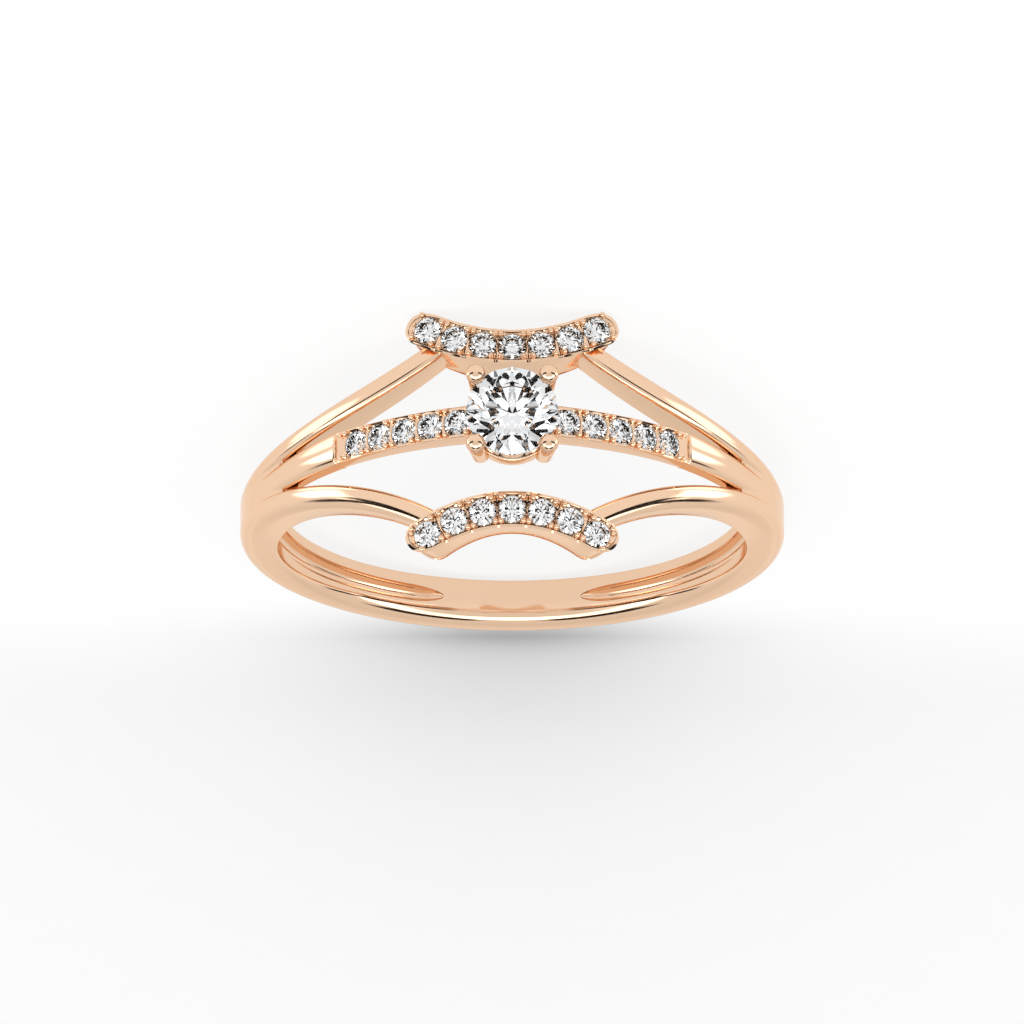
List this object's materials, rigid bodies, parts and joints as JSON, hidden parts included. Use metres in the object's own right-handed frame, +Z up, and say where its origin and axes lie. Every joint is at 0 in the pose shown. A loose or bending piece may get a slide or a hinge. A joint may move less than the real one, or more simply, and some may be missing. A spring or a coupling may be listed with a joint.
{
  "type": "split shank ring",
  "caption": "Split shank ring with a round centre stone in four prongs between two curved bars set with small stones.",
  "frame": {"origin": "middle of the finger hole, on its axis", "axes": "+Z up, +X across the head, -Y towards the head; the ring lies on its side, so the finger hole's axis leans 11.4 degrees from +Z towards +Y"},
  "size_m": [0.0202, 0.0229, 0.0093],
  "materials": {
    "rose_gold": "polished",
    "diamond": "polished"
  },
  "bodies": {
    "root": {"metal": "rose_gold", "centre_stone": "diamond", "front_bar_stone_1": "diamond", "front_bar_stone_2": "diamond", "front_bar_stone_3": "diamond", "front_bar_stone_4": "diamond", "front_bar_stone_5": "diamond", "front_bar_stone_6": "diamond", "front_bar_stone_7": "diamond", "back_bar_stone_1": "diamond", "back_bar_stone_2": "diamond", "back_bar_stone_3": "diamond", "back_bar_stone_4": "diamond", "back_bar_stone_5": "diamond", "back_bar_stone_6": "diamond", "back_bar_stone_7": "diamond", "left_arm_stone_1": "diamond", "left_arm_stone_2": "diamond", "left_arm_stone_3": "diamond", "left_arm_stone_4": "diamond", "left_arm_stone_5": "diamond", "right_arm_stone_1": "diamond", "right_arm_stone_2": "diamond", "right_arm_stone_3": "diamond", "right_arm_stone_4": "diamond", "right_arm_stone_5": "diamond"}
  },
  "joints": []
}
